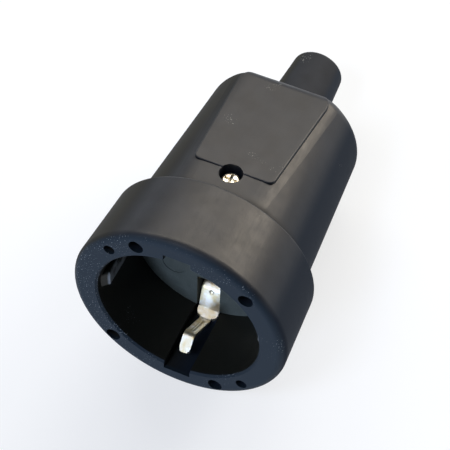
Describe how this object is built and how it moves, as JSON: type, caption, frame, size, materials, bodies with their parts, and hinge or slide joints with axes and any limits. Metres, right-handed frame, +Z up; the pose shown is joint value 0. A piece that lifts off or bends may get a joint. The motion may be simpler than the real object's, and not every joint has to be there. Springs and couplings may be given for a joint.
{
  "type": "inline socket connector",
  "caption": "Round earthed inline socket with a deep plug recess, spring earth clips, a flattened grip with a bare label panel and a rear cable sleeve.",
  "frame": {"origin": "bottom centre of the bounding box, on the surface that the connector lies on", "axes": "+Z up, +Y from the socket's mouth towards the cable sleeve, +X to the right seen from the mouth; the socket's own axis dips towards the sleeve as the connector lies on its collar and grip"},
  "size_m": [0.052, 0.0874, 0.0535],
  "materials": {
    "housing_plastic": "moulded satin near-black thermoplastic",
    "carrier_plastic": "moulded matt dark grey",
    "plated_clip": "nickel-plated brass strip",
    "contact_brass": "plain brass",
    "plated_steel": "zinc-plated steel"
  },
  "bodies": {
    "root": {"housing": "housing_plastic", "contact_carrier": "carrier_plastic", "carrier_cover": "carrier_plastic", "earth_clip_upper": "plated_clip", "earth_clip_lower": "plated_clip", "earth_bridge": "contact_brass", "earth_rivet_upper": "contact_brass", "earth_rivet_lower": "contact_brass", "earth_terminal_screw": "plated_steel", "housing_screw": "plated_steel", "housing_nut": "plated_steel", "cord_clamp": "carrier_plastic", "contact_sleeve_left": "contact_brass", "contact_spring_left": "plated_steel", "terminal_screw_left": "plated_steel", "cover_screw_left": "plated_steel", "clamp_screw_left": "plated_steel", "contact_sleeve_right": "contact_brass", "contact_spring_right": "plated_steel", "terminal_screw_right": "plated_steel", "cover_screw_right": "plated_steel", "clamp_screw_right": "plated_steel"}
  },
  "joints": []
}
